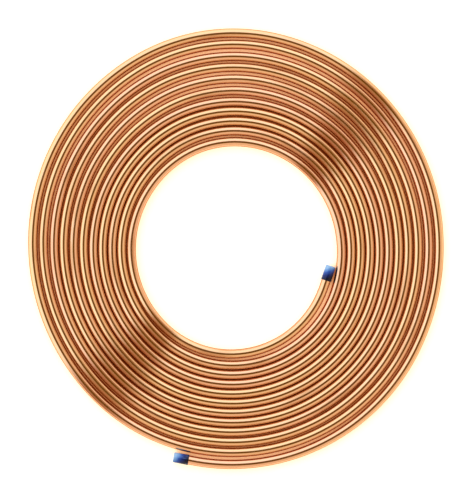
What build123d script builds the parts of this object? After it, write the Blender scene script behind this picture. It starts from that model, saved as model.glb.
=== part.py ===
from build123d import *

import os
from math import cos, floor, radians, sin

# Copper tube coil: one length of soft drawn tube wound flat into a single spiral layer,
# with a push-on plastic cap on each end. Millimetres, +Z up, lying on the floor at Z = 0.

# Stock: half inch soft copper tube
tube_od = 12.7
tube_wall = 0.8

# Winding, followed from the inner end outwards. It runs clockwise seen from above.
eye_radius = 139.6        # mean centreline radius where the winding starts
eye_off_x = -2.5          # where the axis of the winding stands from the origin
eye_off_y = -3.0
start_angle = 338.4       # degrees from +X at which the inner end begins to bend
turns = 11.22             # bent turns between the two straight ends
turn_gap = 0.42           # daylight between neighbouring turns
inner_ovality = 2.8       # the first turn is this much longer along Y, and shorter along X, than a circle
outer_ovality = 4.0       # and so is the last one
outer_slack = 1.25        # further gap that each turn has after outer_slack_turn
outer_slack_turn = 8.5
crown_side = 97.0         # degrees from +X of the side where the turns lie looser
crown_sharpness = 2.5     # the higher, the narrower that looser side
crown_gaps = (2.0, 0.1, 0.4, 0.2, 1.9, 2.9, 2.9, 1.7, 2.1, 1.1)    # turn by turn, the further gap there
arcs_per_turn = 10

# Ends: the last stretch is left straight, and both ends spring out of the winding
inner_straight = 29.0
outer_straight = 27.8
inner_lean_turns = 0.46   # how much of the first turn leans into the eye
tail_spring = 2.0         # how far the outer tail springs away from the turn beside it
tail_spring_turns = 0.25

# Push-on end caps
cap_wall = 0.9
cap_clearance = 0.1
cap_floor = 1.4
cap_depth = 20.0          # how far a cap reaches over the tube
cap_round = 1.2
cap_lip = 0.3
cap_standoff = 2.8        # how far the inner cap leans away from the turn beside it

cap_stand = cap_wall + cap_clearance
tube_bore = tube_od - 2 * tube_wall
cap_bore = tube_od + 2 * cap_clearance
cap_od = cap_bore + 2 * cap_wall


def ease(share):
    """Smooth rise from 0 to 1 as share goes from 0 to 1, flat before and after."""
    share = min(max(share, 0), 1)
    return share * share * (3 - 2 * share)


def centreline(turn):
    """Point on the tube's axis, a number of turns after the inner straight end, lying flat."""
    angle = radians(start_angle - 360 * turn)
    from_end = turns - turn
    crown = ((1 + cos(angle - radians(crown_side))) / 2) ** crown_sharpness
    crowns_passed = max(floor(turn - (start_angle - crown_side - 180) / 360), 0)
    ovality = inner_ovality + (outer_ovality - inner_ovality) * turn / turns
    radius = (
        eye_radius
        + (tube_od + turn_gap) * turn
        + outer_slack * max(turn - outer_slack_turn, 0)
        + crown * sum(crown_gaps[:crowns_passed])
        - ovality * cos(2 * angle)
        - (cap_stand + cap_standoff) * ease(1 - turn / inner_lean_turns)
        + tail_spring * ease(1 - from_end / tail_spring_turns)
    )
    return Vector(
        eye_off_x + radius * cos(angle),
        eye_off_y + radius * sin(angle),
        tube_od / 2,
    )


def coil_route():
    """Axis of the whole tube: a straight end, a chain of tangent arcs, a straight end.

    The first and last arcs lie in tilted planes, so that both ends rise off the floor.
    """
    arcs = round(turns * arcs_per_turn)
    points = [centreline(turns * step / arcs) for step in range(arcs + 1)]
    heading = (centreline(turns / arcs + 0.001) - points[1]).normalized()
    lift = Vector(0, 0, cap_stand)
    with BuildLine() as route:
        inwards = TangentArc(points[1], points[0] + lift, tangent=-heading, mode=Mode.PRIVATE)
        Line(inwards @ 1 + (inwards % 1) * inner_straight, inwards @ 1)
        ThreePointArc(inwards @ 1, inwards @ 0.5, inwards @ 0)
        for start, end in zip(points[1:-2], points[2:-1]):
            arc = TangentArc(start, end, tangent=heading)
            heading = arc % 1
        outwards = TangentArc(points[-2], points[-1] + lift, tangent=heading)
        Line(outwards @ 1, outwards @ 1 + (outwards % 1) * outer_straight)
    return route.wire()


def copper_tube(axis):
    """The tube, one hollow solid swept along its axis and open at both ends."""
    with BuildPart() as tube:
        with BuildSketch(Plane(axis @ 0, z_dir=axis % 0)):
            Circle(tube_od / 2)
            Circle(tube_bore / 2, mode=Mode.SUBTRACT)
        sweep(path=axis)
    return tube


def end_cap(tip, outward):
    """Cap pushed on until its floor meets the tube's end face at tip."""
    mouth = Plane(tip - outward * cap_depth, z_dir=outward)
    along = Axis(mouth.origin, outward)
    with BuildPart() as cap:
        with BuildSketch(mouth):
            Circle(cap_od / 2)
        extrude(amount=cap_depth + cap_floor)
        rims = cap.edges().filter_by(GeomType.CIRCLE).sort_by(along)
        fillet(rims[-1], radius=cap_round)
        chamfer(rims[0], length=cap_lip)
        with BuildSketch(mouth):
            Circle(cap_bore / 2)
        extrude(amount=cap_depth, mode=Mode.SUBTRACT)
    return cap


axis = coil_route()
tube = copper_tube(axis)
inner_cap = end_cap(axis @ 0, -(axis % 0))
outer_cap = end_cap(axis @ 1, axis % 1)

tube.part.label = "copper_tube"
inner_cap.part.label = "inner_end_cap"
outer_cap.part.label = "outer_end_cap"

os.makedirs("parts", exist_ok=True)
for piece in (tube, inner_cap, outer_cap):
    export_step(piece.part, f"parts/{piece.part.label}.step")
print(f"developed length of the tube {axis.length / 1000:.2f} m")
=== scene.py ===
# %% [markdown]
# # A flat coil of soft copper tube
#
# The real thing is one length of half inch soft copper tube, about fifteen metres of it,
# wound by a machine into a single flat spiral and closed at both ends with a blue plastic
# cap. The construction model holds the true sizes, and it is loaded first as a frame that
# never moves. Everything below is a surface built round that frame, in metres, with +Z up.

import bpy
import numpy as np
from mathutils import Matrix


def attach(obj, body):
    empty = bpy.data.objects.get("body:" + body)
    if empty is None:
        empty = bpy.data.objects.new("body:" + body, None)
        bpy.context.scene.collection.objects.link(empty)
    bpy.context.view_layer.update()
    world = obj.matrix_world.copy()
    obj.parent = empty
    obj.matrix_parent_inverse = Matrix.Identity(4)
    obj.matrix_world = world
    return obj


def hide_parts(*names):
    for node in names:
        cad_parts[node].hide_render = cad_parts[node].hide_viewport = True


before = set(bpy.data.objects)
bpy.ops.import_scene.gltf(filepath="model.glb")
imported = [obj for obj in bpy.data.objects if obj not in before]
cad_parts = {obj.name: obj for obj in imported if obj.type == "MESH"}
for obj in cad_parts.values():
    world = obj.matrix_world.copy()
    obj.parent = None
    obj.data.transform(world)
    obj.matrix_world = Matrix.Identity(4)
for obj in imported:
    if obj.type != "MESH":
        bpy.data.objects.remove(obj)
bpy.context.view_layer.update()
MM = 0.001
print("frame holds", sorted(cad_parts))

# %% [markdown]
# ## The line that the tube follows
#
# A winding can be drawn as a spiral curve object with a bevel, but then its ends, its loose
# outer turns and its slightly oval shape have to be pulled about by hand. Here one formula
# gives the distance of the axis from the middle of the coil, turn by turn, and the sizes
# in it are the ones that the construction model was built with. The formula is only asked for
# ten points in each turn. Between them the tube bends in arcs that meet without a corner,
# which is how a winding machine lays it, and which is what the frame has too.

# %% Sizes of the winding
tube_radius = 6.35 * MM
tube_wall = 0.8 * MM
eye_radius = 139.6 * MM
eye_centre = np.array([-2.5, -3.0]) * MM
start_angle = 338.4
turns = 11.22
turn_pitch = 13.12 * MM
inner_ovality = 2.8 * MM
outer_ovality = 4.0 * MM
outer_slack = 1.25 * MM
outer_slack_turn = 8.5
crown_side = 97.0
crown_sharpness = 2.5
crown_gaps = np.array([2.0, 0.1, 0.4, 0.2, 1.9, 2.9, 2.9, 1.7, 2.1, 1.1]) * MM
inner_lean = 3.8 * MM
inner_lean_turns = 0.46
tail_spring = 2.0 * MM
tail_spring_turns = 0.25
arcs_per_turn = 10
inner_straight = 29.0 * MM
outer_straight = 27.8 * MM
end_lift = 1.0 * MM
print(f"{turns} turns, {turn_pitch / MM:.2f} mm apart, round an eye of {2 * eye_radius / MM:.0f} mm")


# %% The formula of the winding
def ease(share):
    """Smooth step: 3 s^2 - 2 s^3 of a share s that is held between 0 and 1."""
    share = np.clip(share, 0, 1)
    return share * share * (3 - 2 * share)


def winding(turn):
    """Points of the axis, flat on the floor, for an array of turns counted from the inner end.

    The distance from the eye's centre is the eye's radius plus one pitch for each turn, plus
    slack outside, plus the gaps that have gathered on the loose side, minus an oval term that
    grows outwards, minus the lean of the inner end, plus the spring of the tail. The angle runs
    clockwise from the start angle.
    """
    angle = np.radians(start_angle - 360 * turn)
    crown = ((1 + np.cos(angle - np.radians(crown_side))) / 2) ** crown_sharpness
    crowns_passed = np.floor(turn - (start_angle - crown_side - 180) / 360).astype(int)
    gathered = np.concatenate([[0], np.cumsum(crown_gaps)])
    ovality = inner_ovality + (outer_ovality - inner_ovality) * turn / turns
    reach = eye_radius + turn_pitch * turn
    reach += outer_slack * np.maximum(turn - outer_slack_turn, 0)
    reach += crown * gathered[np.clip(crowns_passed, 0, len(crown_gaps))]
    reach -= ovality * np.cos(2 * angle)
    reach -= inner_lean * ease(1 - turn / inner_lean_turns)
    reach += tail_spring * ease(1 - (turns - turn) / tail_spring_turns)
    return np.stack(
        [
            eye_centre[0] + reach * np.cos(angle),
            eye_centre[1] + reach * np.sin(angle),
            np.full_like(reach, tube_radius),
        ],
        axis=-1,
    )


arc_count = round(turns * arcs_per_turn)
knots = winding(turns * np.arange(arc_count + 1) / arc_count)
print(f"{arc_count} arcs, widest reach {np.abs(knots[:, :2]).max() / MM:.1f} mm")

# %% [markdown]
# ## From points to a smooth bent line
#
# An arc is fixed by where it starts, the way it heads and where it ends. If a unit heading h
# meets a unit chord c, the arc arrives with the heading 2 (h . c) c - h, which is h mirrored
# in the chord. Walking along the knots with that rule gives every arc its heading, and both end
# knots are lifted a little first, because a cap is thicker than the tube and stands on the floor.
# After that, any place on the tube is found from its distance along it, for whole arrays at once.

# %% Arcs through the knots
def unit(vectors):
    """Vectors divided by their own length."""
    return vectors / np.linalg.norm(vectors, axis=-1, keepdims=True)


def mirrored(heading, chord):
    """Heading at the far end of an arc: 2 (h . c) c - h."""
    return 2 * (heading @ chord) * chord - heading


look_ahead = 0.001
first_heading = unit(winding(np.array([turns / arc_count + look_ahead]))[0] - knots[1])
knots[0, 2] += end_lift
knots[-1, 2] += end_lift
chords = np.diff(knots, axis=0)
chord_lengths = np.linalg.norm(chords, axis=1)
chord_units = unit(chords)
headings = [mirrored(first_heading, chord_units[0]), first_heading]
for chord in chord_units[1:-1]:
    headings.append(mirrored(headings[-1], chord))

leaving = np.array(headings)
cosines = np.sum(leaving * chord_units, axis=1)
half_bends = np.arccos(cosines)
sideways = unit(chord_units - cosines[:, None] * leaving)
bend_radii = chord_lengths / (2 * np.sin(half_bends))
arc_ends = np.concatenate([[0], np.cumsum(2 * half_bends * bend_radii)])
bent_length = arc_ends[-1]
tube_length = inner_straight + bent_length + outer_straight
print(f"tube is {tube_length:.2f} m long, bends of {bend_radii.min() / MM:.0f} mm and more")


# %% Any place on the tube
def along_tube(place):
    """Point and heading on the axis, at distances along the tube from its inner tip.

    On an arc of radius R that left with heading h and bends towards n, the point after an
    angle a is start + R sin(a) h + R (1 - cos(a)) n, and its heading is cos(a) h + sin(a) n.
    Before the first arc and after the last one the line runs straight on.
    """
    bent = np.clip(place - inner_straight, 0, bent_length)
    arc = np.clip(np.searchsorted(arc_ends, bent, side="right") - 1, 0, arc_count - 1)
    radius = bend_radii[arc][:, None]
    angle = (bent - arc_ends[arc])[:, None] / radius
    point = knots[arc] + radius * np.sin(angle) * leaving[arc]
    point += radius * (1 - np.cos(angle)) * sideways[arc]
    heading = np.cos(angle) * leaving[arc] + np.sin(angle) * sideways[arc]
    return point + (place - inner_straight - bent)[:, None] * heading, heading


tips, _ = along_tube(np.array([0, tube_length]))
print("tips at", np.round(tips / MM, 1).tolist())

# %% [markdown]
# ## The tube's wall
#
# The tube is hollow, so its surface is one closed skin: along the outside, over the cut end,
# back through the bore and over the other cut end. On a grid that is a list of rings, each a
# distance along the tube and a radius, and the last ring meets the first one again. A ring
# stands square to the line, so it needs two directions: one level and pointing out of the
# coil, and one that points up. Soft tube is drawn, annealed and bent, so the section is also a
# touch flatter than round and the wall wanders by hundredths of a millimetre, which is what makes
# the highlights of a real coil waver. Each point also remembers where it would lie on the
# straight tube, because the streaks in the finish follow the metal and not the room.

# %% Helpers that put arrays into a mesh
laid_out_name = "straight_tube"
sharp_angle = 38.0


def make_piece(name, points, faces, places):
    """A mesh object from arrays: points, quads or triangles, and the places laid out straight.

    It is smooth, apart from edges that turn by more than the sharp angle.
    """
    mesh = bpy.data.meshes.new(name)
    mesh.from_pydata(points.tolist(), [], faces)
    laid_out = mesh.attributes.new(laid_out_name, "FLOAT_VECTOR", "POINT")
    laid_out.data.foreach_set("vector", places.astype(np.float32).ravel())
    mesh.shade_smooth()
    mesh.set_sharp_from_angle(angle=np.radians(sharp_angle))
    mesh.update()
    piece = bpy.data.objects.new(name, mesh)
    bpy.context.scene.collection.objects.link(piece)
    print(f"{name}: {len(points)} points, {len(faces)} faces")
    return piece


def ring_faces(rings, sides, closed):
    """Quads between neighbouring rings; a closed surface joins its last ring to the first."""
    bands = rings if closed else rings - 1
    ring, side = np.meshgrid(np.arange(bands), np.arange(sides), indexing="ij")
    next_side = (side + 1) % sides
    this_ring = ring * sides
    next_ring = (ring + 1) % rings * sides
    corners = [this_ring + side, this_ring + next_side, next_ring + next_side, next_ring + side]
    return np.stack(corners, axis=-1).reshape(-1, 4).tolist()


# %% The copper tube
ring_sides = 32
skin_rings = 1880
bore_rings = 1080
cut_round = 0.15 * MM
flattening = 0.03 * MM
waver = 0.02 * MM
waves = [(31.0 * MM, 2, 0.0), (17.3 * MM, -1, 1.3), (9.1 * MM, 3, 0.7)]


def wandering(place, around):
    """Small radial error of a drawn tube: a flat oval term plus slow waves along it.

    A wave is sin(place / length + times around + start), and the three share the waver.
    """
    wave = sum(np.sin(place / length + times * around + start) for length, times, start in waves)
    return flattening * np.cos(2 * around) + waver / len(waves) * wave


def tube_rings():
    """Distance along the tube and radius of every ring, round the whole closed skin."""
    bore_radius = tube_radius - tube_wall
    skin = np.linspace(cut_round, tube_length - cut_round, skin_rings)
    bore = np.linspace(tube_length, 0, bore_rings)
    place = np.concatenate([[0], skin, [tube_length], bore])
    rounded = [tube_radius - cut_round]
    radius = np.concatenate(
        [rounded, np.full(skin_rings, tube_radius), rounded, np.full(bore_rings, bore_radius)]
    )
    return place, radius


ring_place, ring_radius = tube_rings()
centre, heading = along_tube(ring_place)
outwards = unit(np.cross([0, 0, 1], heading))
upwards = np.cross(heading, outwards)
around = np.linspace(0, 2 * np.pi, ring_sides, endpoint=False)
is_skin = (ring_radius > tube_radius - tube_wall / 2)[:, None]
radii = ring_radius[:, None] + np.where(is_skin, wandering(ring_place[:, None], around), 0)
rise = radii * np.sin(around)
spread = radii * np.cos(around)
skin_points = centre[:, None] + spread[..., None] * outwards[:, None] + rise[..., None] * upwards[:, None]
straight = np.stack([np.broadcast_to(ring_place[:, None], radii.shape), spread, rise], axis=-1)
copper_tube = make_piece(
    "copper_tube_skin",
    skin_points.reshape(-1, 3),
    ring_faces(len(ring_place), ring_sides, closed=True),
    straight.reshape(-1, 3),
)
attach(copper_tube, "root")
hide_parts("copper_tube")

# %% [markdown]
# ## The end caps
#
# Each end is closed with a cup of soft blue plastic that is pushed on until its floor meets the
# tube. It is moulded, so it is thicker at its mouth, where a bead keeps it from splitting, it tapers
# a little so that it leaves the mould, and its closed end has a rounded edge and the stub of
# the gate in a shallow dish. All that is round, so the cap is a profile turned about the tube's
# own line. The profile runs from the middle of the closed end down the outside and back up the
# bore, and its first and last points are single points on the line, so that no hole is left there.

# %% The profile of a cap
cap_depth = 20.0 * MM
cap_floor = 1.4 * MM
cap_bore = 6.45 * MM
cap_body = 6.98 * MM
cap_reach = 7.35 * MM
shoulder_round = 1.5 * MM
bead_round = 0.6 * MM
bore_round = 0.4 * MM
cap_sides = 72


def arc_points(centre, radius, start, stop, count):
    """Points of a round corner: centre + radius (cos, sin) from one angle in degrees to another."""
    angle = np.radians(np.linspace(start, stop, count))
    return np.array(centre) + radius * np.stack([np.cos(angle), np.sin(angle)], axis=-1)


def cap_profile():
    """Distance beyond the tube's tip and radius of each point, from the closed end round to the bore."""
    top = cap_floor
    mouth = -cap_depth
    gate = np.array([[-0.15, 0], [-0.15, 0.7], [-0.45, 0.85]]) * MM + [top, 0]
    dish = np.array([[-0.45, 1.9], [-0.12, 2.6], [0, 3.4]]) * MM + [top, 0]
    shoulder = arc_points([top - shoulder_round, cap_body - shoulder_round], shoulder_round, 0, 90, 9)
    barrel = [[top - 9.0 * MM, 7.1 * MM], [mouth + 3.3 * MM, 7.2 * MM]]
    bead = arc_points([mouth + 1.9 * MM, cap_reach - bead_round], bead_round, 60, 90, 4)
    lip = arc_points([mouth + bead_round, cap_reach - bead_round], bead_round, 90, 180, 7)
    inner_lip = [[mouth, cap_bore + 0.25 * MM], [mouth + 0.3 * MM, cap_bore]]
    bore_corner = arc_points([-bore_round, cap_bore - bore_round], bore_round, 90, 0, 5)
    floor = [[0, 3.0 * MM], [0, 0]]
    return np.concatenate([gate, dish, shoulder, barrel, bead, lip, inner_lip, bore_corner, floor])


print(f"a cap's profile has {len(cap_profile())} points")


# %% The two caps
def turned(profile, tip, outward, sides):
    """Points, faces and places of a profile turned about a line.

    A place is (x, r cos a, r sin a), laid out along X from the tip. Its point is the tip plus
    those three along the line, along a level direction and along an upright one. The ends of the
    profile are one point each, which fans of triangles join to the nearest ring.
    """
    angle = np.linspace(0, 2 * np.pi, sides, endpoint=False)
    body = profile[1:-1]
    ring_places = np.empty((len(body), sides, 3))
    ring_places[..., 0] = body[:, :1]
    ring_places[..., 1:] = body[:, None, 1:] * np.stack([np.cos(angle), np.sin(angle)], axis=-1)
    poles = np.zeros((2, 3))
    poles[:, 0] = profile[[0, -1], 0]
    places = np.concatenate([ring_places.reshape(-1, 3), poles])
    level = unit(np.cross([0, 0, 1], outward))
    points = tip + places @ np.stack([outward, level, np.cross(outward, level)])

    count = len(body) * sides
    side = np.arange(sides)
    next_side = (side + 1) % sides
    last_ring = count - sides
    first = np.stack([np.full(sides, count), side, next_side], axis=-1)
    last = np.stack([np.full(sides, count + 1), last_ring + next_side, last_ring + side], axis=-1)
    quads = [quad[::-1] for quad in ring_faces(len(body), sides, closed=False)]
    return points, quads + first.tolist() + last.tolist(), places


def end_cap(name, node, place, direction, lit_side):
    """A cap on the tube's tip at that distance along it, pointing out of the tube.

    The lit side is 1 or -1, for the side to the left or right of the way it points, which is painted
    paler as a painted highlight.
    """
    tip, heading = along_tube(np.array([place]))
    points, faces, places = turned(cap_profile(), tip[0], direction * heading[0], cap_sides)
    cap = make_piece(name, points, faces, places * (1, lit_side, 1))
    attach(cap, "root")
    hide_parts(node)
    return cap


inner_cap = end_cap("inner_cap_shell", "inner_end_cap", 0, -1, 1)
outer_cap = end_cap("outer_cap_shell", "outer_end_cap", tube_length, 1, -1)

# %% [markdown]
# ## Shared effects
#
# Both finishes carry the marks of handling, so these are made once as shader node groups and used
# with other values in each material. A group gives out masks and heights only. The shader
# itself stays in the material.

# %% A small kit for node groups
FLOAT = "NodeSocketFloat"
VECTOR = "NodeSocketVector"


def new_group(name, inputs, outputs):
    """An empty shader node group, with its input and output nodes."""
    group = bpy.data.node_groups.new(name, "ShaderNodeTree")
    for label, kind, value in inputs:
        socket = group.interface.new_socket(label, in_out="INPUT", socket_type=kind)
        if value is not None:
            socket.default_value = value
    for label, kind in outputs:
        group.interface.new_socket(label, in_out="OUTPUT", socket_type=kind)
    return group, group.nodes.new("NodeGroupInput"), group.nodes.new("NodeGroupOutput")


def add(tree, kind, values=(), links=(), **settings):
    """A node with its settings, socket values by name or number, and links into its sockets."""
    node = tree.nodes.new(kind)
    for key, value in settings.items():
        setattr(node, key, value)
    for socket, value in dict(values).items():
        node.inputs[socket].default_value = value
    for socket, source in dict(links).items():
        tree.links.new(source, node.inputs[socket])
    return node


# %% Patches that come and go
patches, patches_in, patches_out = new_group(
    "patches",
    [("Vector", VECTOR, None), ("Scale", FLOAT, 8.0), ("Low", FLOAT, 0.45), ("High", FLOAT, 0.65)],
    [("Mask", FLOAT)],
)
cloud = add(
    patches,
    "ShaderNodeTexNoise",
    {"Detail": 4.0, "Roughness": 0.55},
    {"Vector": patches_in.outputs["Vector"], "Scale": patches_in.outputs["Scale"]},
)
edge = add(
    patches,
    "ShaderNodeMapRange",
    links={
        "Value": cloud.outputs["Fac"],
        "From Min": patches_in.outputs["Low"],
        "From Max": patches_in.outputs["High"],
    },
    interpolation_type="SMOOTHSTEP",
)
patches.links.new(edge.outputs["Result"], patches_out.inputs["Mask"])
print("group", patches.name)

# %% Fine scratches in two directions
scratches, scratches_in, scratches_out = new_group(
    "scratches",
    [("Vector", VECTOR, None), ("Scale", FLOAT, 60.0), ("Amount", FLOAT, 0.2)],
    [("Mask", FLOAT), ("Height", FLOAT)],
)
directions = [
    {"Rotation": (0.3, 0.5, 0.4), "Scale": (0.06, 1.0, 1.0)},
    {"Rotation": (1.1, 0.2, 1.9), "Scale": (0.08, 1.0, 1.0)},
]
thin_lines = []
for direction in directions:
    drawn_out = add(scratches, "ShaderNodeMapping", direction, {"Vector": scratches_in.outputs["Vector"]})
    streaks = add(
        scratches,
        "ShaderNodeTexNoise",
        {"Detail": 2.0},
        {"Vector": drawn_out.outputs["Vector"], "Scale": scratches_in.outputs["Scale"]},
    )
    thin = add(
        scratches,
        "ShaderNodeMapRange",
        {"From Min": 0.66, "From Max": 0.72},
        {"Value": streaks.outputs["Fac"]},
    )
    thin_lines.append(thin.outputs["Result"])
both = add(scratches, "ShaderNodeMath", links=dict(enumerate(thin_lines)), operation="MAXIMUM")
faint = add(
    scratches,
    "ShaderNodeMath",
    links={0: both.outputs[0], 1: scratches_in.outputs["Amount"]},
    operation="MULTIPLY",
)
dug = add(scratches, "ShaderNodeMath", {1: -1.0}, {0: both.outputs[0]}, operation="MULTIPLY")
scratches.links.new(faint.outputs[0], scratches_out.inputs["Mask"])
scratches.links.new(dug.outputs[0], scratches_out.inputs["Height"])
print("group", scratches.name)

# %% [markdown]
# ## From masks to a finish
#
# A finish is a colour, a roughness and a bump, and each is a mixture of masks. The nodes could
# all be written out, but every material would repeat them. Small helpers do the mixing instead:
# they blend two colours, read a colour off a ramp, ease a value between two limits, add up
# outputs by their weights, and turn such sums into the shader's roughness and bump. With those,
# each material below reads as a list of what has happened to the surface.

# %% Helpers for materials
def new_material(name):
    """A material with nodes, its tree and its shader."""
    material = bpy.data.materials.new(name)
    material.use_nodes = True
    return material, material.node_tree, material.node_tree.nodes["Principled BSDF"]


def place_group(tree, group, values=(), links=()):
    """A node that holds one of the shared groups."""
    return add(tree, "ShaderNodeGroup", values, links, node_tree=group)


def blended(tree, factor, first, second):
    """Colour between two colours, each a fixed one or another node's output."""
    node = add(tree, "ShaderNodeMix", links={0: factor}, data_type="RGBA")
    for socket, colour in ((6, first), (7, second)):
        if isinstance(colour, tuple):
            node.inputs[socket].default_value = (*colour, 1.0)
        else:
            tree.links.new(colour, node.inputs[socket])
    return node.outputs[2]


def ramp_of(tree, value, stops):
    """Colour of a value on a ramp, whose stops are positions and colours."""
    node = add(tree, "ShaderNodeValToRGB", links={0: value})
    elements = node.color_ramp.elements
    while len(elements) < len(stops):
        elements.new(0.5)
    for element, (position, colour) in zip(elements, stops):
        element.position = position
        element.color = (*colour, 1.0)
    return node.outputs["Color"]


def smooth_step(tree, value, start, stop):
    """Smooth step of an output from 0 at start to 1 at stop."""
    node = add(
        tree,
        "ShaderNodeMapRange",
        {"From Min": start, "From Max": stop},
        {"Value": value},
        interpolation_type="SMOOTHSTEP",
    )
    return node.outputs["Result"]


def summed(tree, *weighted):
    """Sum of outputs, each times its weight, as a chain of multiply-add nodes."""
    total = None
    for output, weight in weighted:
        links = {0: output} if total is None else {0: output, 2: total}
        node = add(tree, "ShaderNodeMath", {1: weight}, links, operation="MULTIPLY_ADD")
        if total is None:
            node.inputs[2].default_value = 0.0
        total = node.outputs[0]
    return total


def add_relief(tree, shader, polish, dullness, heights, strength, depth):
    """Roughness as the polish plus a weighted sum of masks, and bump from weighted heights."""
    rough = add(
        tree,
        "ShaderNodeMath",
        {1: polish},
        {0: summed(tree, *dullness)},
        operation="ADD",
        use_clamp=True,
    )
    bump = add(
        tree,
        "ShaderNodeBump",
        {"Strength": strength, "Distance": depth},
        {"Height": summed(tree, *heights)},
    )
    tree.links.new(rough.outputs[0], shader.inputs["Roughness"])
    tree.links.new(bump.outputs["Normal"], shader.inputs["Normal"])


# %% [markdown]
# ## Bright copper
#
# New soft copper comes out of the annealing furnace bright, with faint lines from the drawing
# die and a breath of brown haze where it has been handled. It is a metal, so its colour is the
# tint of its reflections and there is nothing under the surface. The drawing lines run along the
# tube, so their pattern is read from the straightened tube and stretched along it. Haze only
# darkens and dulls, in patches a hand long. The flanks, where turns lie against each other, are
# painted darker and browner as painted shade between the turns, and how far a point lies to the
# side of the straightened tube says where that is. The thin film of oxide also darkens the metal
# where it is seen edge on, for which the shader has its Specular Tint.

# %% The copper material
clean_copper = (0.95, 0.585, 0.30)
warm_copper = (0.95, 0.535, 0.32)
hazed_copper = (0.66, 0.33, 0.15)
scratched_copper = (0.97, 0.72, 0.52)
# Painted shade: the tube's flanks are painted this darker brown where the turns shade each other.
flank_shade_copper = (0.60, 0.21, 0.055)
flank_shade_from = 0.79 * tube_radius

copper, tree, shader = new_material("bright_copper")
shader.inputs["Metallic"].default_value = 1.0
shader.inputs["Specular Tint"].default_value = (0.45, 0.20, 0.06, 1.0)
laid_out = add(tree, "ShaderNodeAttribute", attribute_name=laid_out_name, attribute_type="GEOMETRY")
along = laid_out.outputs["Vector"]
stretched = add(tree, "ShaderNodeMapping", {"Scale": (0.02, 1.0, 1.0)}, {"Vector": along})
long_patches = add(tree, "ShaderNodeMapping", {"Scale": (0.35, 4.0, 4.0)}, {"Vector": along})
patch_places = {"Vector": long_patches.outputs["Vector"]}
drawn = add(
    tree,
    "ShaderNodeTexNoise",
    {"Scale": 1400.0, "Detail": 3.0, "Roughness": 0.6},
    {"Vector": stretched.outputs["Vector"]},
)
haze = place_group(tree, patches, {"Scale": 22.0, "Low": 0.55, "High": 0.75}, patch_places)
warmth = place_group(tree, patches, {"Scale": 5.0, "Low": 0.38, "High": 0.62}, patch_places)
marks = place_group(tree, scratches, {"Scale": 260.0, "Amount": 0.25}, {"Vector": along})
to_the_side = add(tree, "ShaderNodeSeparateXYZ", links={0: along}).outputs["Y"]
from_middle = add(tree, "ShaderNodeMath", links={0: to_the_side}, operation="ABSOLUTE")
# Painted shade: how far a point lies to the side of the tube, eased to 1 at its edge, says where the
# flanks are painted darker.
painted_flank_shade = smooth_step(tree, from_middle.outputs[0], flank_shade_from, tube_radius)

metal = blended(tree, warmth.outputs["Mask"], clean_copper, warm_copper)
metal = blended(tree, haze.outputs["Mask"], metal, hazed_copper)
metal = blended(tree, marks.outputs["Mask"], metal, scratched_copper)
metal = blended(tree, painted_flank_shade, metal, flank_shade_copper)
tree.links.new(metal, shader.inputs["Base Color"])
add_relief(
    tree,
    shader,
    polish=0.08,
    dullness=[(drawn.outputs["Fac"], 0.08), (haze.outputs["Mask"], 0.12), (marks.outputs["Mask"], 0.3)],
    heights=[(drawn.outputs["Fac"], 1.0), (marks.outputs["Height"], 0.5)],
    strength=0.2,
    depth=0.05 * MM,
)
copper_tube.data.materials.append(copper)
print("material", copper.name, "with", len(tree.nodes), "nodes")

# %% [markdown]
# ## Soft blue plastic
#
# The caps are soft vinyl or polyethylene, coloured right through and smooth from the mould. Their
# own colour is a deep blue. On top of it the mouth is painted nearly black as painted shade, and
# the closed end is painted pale as a painted highlight, more on the lit side than on the other. A
# painted map could hold that, but a ramp is shorter, because the colour only changes along the cap
# and across it, and both are read from where a point would lie on the straightened cap. Plastic
# has no grain, so its mottling and scuffs are read from the place in the room and look the same
# all round.

# %% The cap material
# Ramp from the closed end to the mouth: a painted highlight at the closed end, then the cap's own deep
# blue, then painted shade, nearly black, at the mouth.
cap_highlight_and_shade = [
    (0.00, (0.36, 0.60, 0.90)),
    (0.16, (0.16, 0.36, 0.74)),
    (0.34, (0.030, 0.10, 0.45)),
    (0.56, (0.008, 0.025, 0.17)),
    (0.82, (0.002, 0.003, 0.018)),
]
scuffed_blue = (0.16, 0.3, 0.62)
# How much paler the cap is painted on its lit side, as a painted highlight.
lit_side_share = 0.22
mottling = 0.08

plastic, tree, shader = new_material("blue_plastic")
shader.inputs["IOR"].default_value = 1.5
shader.inputs["Specular IOR Level"].default_value = 0.3
place = add(tree, "ShaderNodeTexCoord").outputs["Object"]
mottled = place_group(tree, patches, {"Scale": 180.0, "Low": 0.35, "High": 0.75}, {"Vector": place})
scuffs = place_group(tree, scratches, {"Scale": 420.0, "Amount": 0.35}, {"Vector": place})
grain = add(tree, "ShaderNodeTexNoise", {"Scale": 2600.0, "Detail": 2.0}, {"Vector": place})
laid_out = add(tree, "ShaderNodeAttribute", attribute_name=laid_out_name, attribute_type="GEOMETRY")
on_cap = add(tree, "ShaderNodeSeparateXYZ", links={0: laid_out.outputs["Vector"]})
# Ramp position: along the cap into the painted shade at the mouth, drawn back towards the painted
# highlight on the lit side, and mottled.
towards_mouth = summed(
    tree,
    (on_cap.outputs["X"], -1 / (cap_depth + cap_floor)),
    (on_cap.outputs["Y"], -lit_side_share / cap_reach),
    (mottled.outputs["Mask"], mottling),
)
blue = blended(tree, scuffs.outputs["Mask"], ramp_of(tree, towards_mouth, cap_highlight_and_shade), scuffed_blue)
tree.links.new(blue, shader.inputs["Base Color"])
add_relief(
    tree,
    shader,
    polish=0.22,
    dullness=[(grain.outputs["Fac"], 0.12), (scuffs.outputs["Mask"], 0.3)],
    heights=[(grain.outputs["Fac"], 0.6), (scuffs.outputs["Height"], 0.6)],
    strength=0.3,
    depth=0.08 * MM,
)
for cap in (inner_cap, outer_cap):
    cap.data.materials.append(plastic)
print("material", plastic.name, "with", len(tree.nodes), "nodes")

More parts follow.
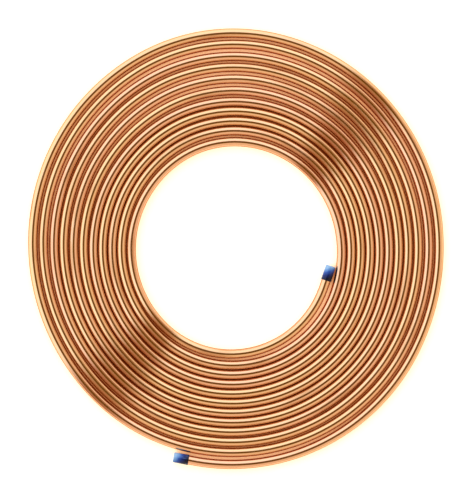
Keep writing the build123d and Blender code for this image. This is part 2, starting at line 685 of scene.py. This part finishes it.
# %% [markdown]
# ## The table
#
# The coil lies on a white table and is seen from straight above. The table glows, but only for
# rays from the camera and for rays that a surface has mirrored or let through. So it looks white,
# and is mirrored white, but sheds no light. Between the turns the light on the table has bounced
# off copper many times and has taken its colour, deep red where the gap is narrow and orange
# where it is wide. Such light takes a renderer long to find. Here an Ambient Occlusion node says
# how open each spot is, and a ramp from closed to open says which colour the glow has there.

# %% The floor
glow = [
    (0.03, (0.10, 0.020, 0.003)),
    (0.12, (0.26, 0.055, 0.008)),
    (0.20, (0.60, 0.24, 0.08)),
    (0.30, (0.95, 0.53, 0.26)),
    (0.50, (0.92, 0.74, 0.46)),
    (1.00, (0.70, 0.66, 0.56)),
]
shaded_table = (0.30, 0.08, 0.015)
open_table = (0.74, 0.72, 0.68)
shade_reach = 30.0 * MM
shade_edges = (0.05, 0.5)
floor_half = 12.0
floor_corners = [
    (-floor_half, -floor_half, 0),
    (floor_half, -floor_half, 0),
    (floor_half, floor_half, 0),
    (-floor_half, floor_half, 0),
]

floor_mesh = bpy.data.meshes.new("floor")
floor_mesh.from_pydata(floor_corners, [], [(0, 1, 2, 3)])
floor = bpy.data.objects.new("floor", floor_mesh)
bpy.context.scene.collection.objects.link(floor)

table, tree, shader = new_material("white_table")
shader.inputs["Roughness"].default_value = 0.9
shader.inputs["Specular IOR Level"].default_value = 0.1
openness = add(tree, "ShaderNodeAmbientOcclusion", {"Distance": shade_reach}, samples=24).outputs["AO"]
# Painted shade: the table's own colour goes dark red where the occlusion says it is closed in between the
# turns.
table_colour = blended(tree, smooth_step(tree, openness, *shade_edges), shaded_table, open_table)
rays = add(tree, "ShaderNodeLightPath")
seen = summed(
    tree,
    (rays.outputs["Is Camera Ray"], 1.0),
    (rays.outputs["Is Glossy Ray"], 1.0),
    (rays.outputs["Is Transmission Ray"], 1.0),
)
tree.links.new(table_colour, shader.inputs["Base Color"])
# Painted bounce light: the glow's colour is read off a ramp by how open the spot is.
tree.links.new(ramp_of(tree, openness, glow), shader.inputs["Emission Color"])
tree.links.new(seen, shader.inputs["Emission Strength"])
floor_mesh.materials.append(table)
print(f"{table.name}, {2 * floor_half:.0f} m square, tinted within {shade_reach / MM:.0f} mm of the tube")

# %% [markdown]
# ## The room
#
# A bright round metal only shows what is round it, so the room decides its look. A point on a
# turn that leans by some angle mirrors the room at twice that angle from straight up, so the
# strip of colours across a turn can be read backwards into a room: tall cool windows from one
# side round to the next, warm paler walls opposite, and a dark ceiling overhead, a little
# nearer the walls, which is the line on the crown of each turn. Two dark corners, where windows
# and walls meet, make the two brown fans, and a doorway low in one of them makes the pale
# lines in its fan. Lamps and glowing boards could stand round the coil instead, but each would
# have to be placed by eye. Here the room is painted straight into the world, as a colour for
# each direction, with smooth steps from one colour to the next.

# %% Sizes and colours of the room
# Angles are in degrees, and an azimuth is counted from +X. A pair of angles is where a smooth
# step starts and where it stops.
window_azimuth = 135.0
window_light = (1.30, 1.38, 1.50)
wall_light = (0.92, 0.75, 0.61)
corner_light = (0.44, 0.24, 0.14)
corner_edges = (4.0, 15.0)
ceiling_light = (0.16, 0.085, 0.005)
ceiling_edges = (16.5, 29.5)
ceiling_lean = 4.5
doorway_azimuth = 45.0
doorway_light = (0.95, 0.86, 0.75)
doorway_top = (48.0, 56.0)
doorway_sides = (60.0, 36.87)
backdrop = (1.0, 1.0, 1.0)


def level_direction(azimuth):
    """Level unit vector (cos a, sin a, 0) towards an azimuth in degrees."""
    angle = np.radians(azimuth)
    return np.array([np.cos(angle), np.sin(angle), 0.0])


def towards(tree, ray, direction):
    """How far a ray points along a fixed direction, which is 1 for straight along it."""
    node = add(tree, "ShaderNodeVectorMath", {1: direction}, {0: ray}, operation="DOT_PRODUCT")
    return node.outputs["Value"]


lean = np.radians(ceiling_lean)
ceiling_middle = np.array([0, 0, np.cos(lean)]) - np.sin(lean) * level_direction(window_azimuth)
print("ceiling's middle is towards", np.round(ceiling_middle, 3).tolist())

# %% The room, a colour for each direction
world = bpy.data.worlds.new("room")
bpy.context.scene.world = world
world.use_nodes = True
tree = world.node_tree
background = tree.nodes["Background"]

ray = add(tree, "ShaderNodeTexCoord").outputs["Generated"]
upness = add(tree, "ShaderNodeSeparateXYZ", links={0: ray}).outputs["Z"]
level = add(tree, "ShaderNodeVectorMath", {1: (1.0, 1.0, 0.0)}, {0: ray}, operation="MULTIPLY")
round_about = add(tree, "ShaderNodeVectorMath", links={0: level.outputs[0]}, operation="NORMALIZE")
level_unit = round_about.outputs[0]

towards_window = towards(tree, level_unit, level_direction(window_azimuth))
first_edge, last_edge = np.sin(np.radians(corner_edges))
window_share = smooth_step(tree, towards_window, first_edge, last_edge)
wall_share = smooth_step(tree, towards_window, -first_edge, -last_edge)

towards_door = towards(tree, level_unit, level_direction(doorway_azimuth))
door_side = smooth_step(tree, towards_door, *np.cos(np.radians(doorway_sides)))
door_height = smooth_step(tree, upness, *np.cos(np.radians(doorway_top)))
door_share = add(tree, "ShaderNodeMath", links={0: door_side, 1: door_height}, operation="MULTIPLY")

overhead = towards(tree, ray, ceiling_middle)
open_share = smooth_step(tree, overhead, *np.cos(np.radians(ceiling_edges)))

room = blended(tree, door_share.outputs[0], corner_light, doorway_light)
room = blended(tree, wall_share, room, wall_light)
room = blended(tree, window_share, room, window_light)
room = blended(tree, open_share, ceiling_light, room)
seen = add(tree, "ShaderNodeLightPath").outputs["Is Camera Ray"]
tree.links.new(blended(tree, seen, room, backdrop), background.inputs["Color"])
background.inputs["Strength"].default_value = 1.0
print(f"windows round azimuth {window_azimuth:.0f} degrees, {len(tree.nodes)} nodes in the world")

# %% [markdown]
# ## The camera
#
# The photograph looks straight down from far away, so the turns on both sides look alike. A long
# lens from four metres does that. The frame's height holds 697 mm at the tube's own level.

# %% The camera
camera_height = 4.0
frame_height = 696.9 * MM
frame_middle = np.array([1.4, -3.5]) * MM
sensor = 36.0
camera_data = bpy.data.cameras.new("camera")
camera_data.sensor_width = sensor
camera_data.lens = sensor * camera_height / frame_height
camera_data.clip_end = 60.0
camera = bpy.data.objects.new("camera", camera_data)
camera.location = (*frame_middle, camera_height + tube_radius)
bpy.context.scene.collection.objects.link(camera)
bpy.context.scene.camera = camera
bpy.context.scene.view_settings.view_transform = "Standard"
print(f"lens {camera_data.lens:.1f} mm")
